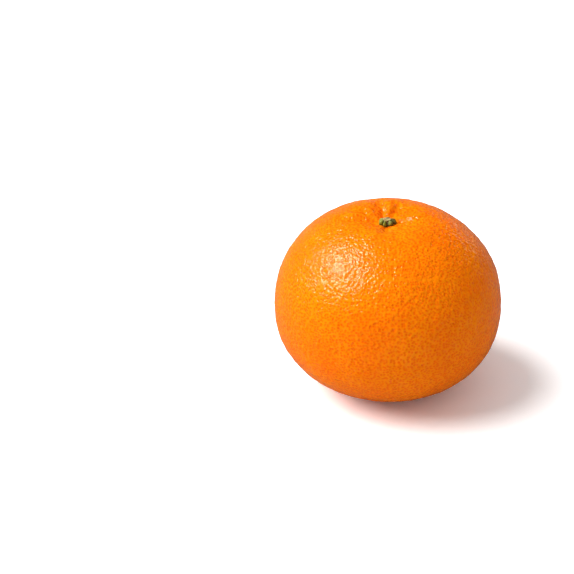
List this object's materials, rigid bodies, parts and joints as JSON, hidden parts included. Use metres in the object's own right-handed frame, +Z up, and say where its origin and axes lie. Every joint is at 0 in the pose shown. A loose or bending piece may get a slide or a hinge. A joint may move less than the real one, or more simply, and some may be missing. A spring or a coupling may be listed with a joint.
{
  "type": "mandarin orange",
  "caption": "Whole unpeeled mandarin orange: a flattened round citrus fruit with a pitted rind, a furrowed hollow at the stem end and a dried green calyx round the cut stem.",
  "frame": {"origin": "middle of the flat ring that the fruit rests on, level with the surface it stands on", "axes": "+Z up along the core, from the blossom end to the stem end; -Y is the side that faces the viewer"},
  "size_m": [0.075, 0.075, 0.0603],
  "materials": {
    "rind": "waxy orange rind with fine pits, half gloss",
    "sepal": "dried green sepals, matt",
    "stem": "cut woody stem, brown and rough"
  },
  "bodies": {
    "root": {"fruit": "rind", "calyx": "sepal", "stem_stub": "stem"}
  },
  "joints": []
}
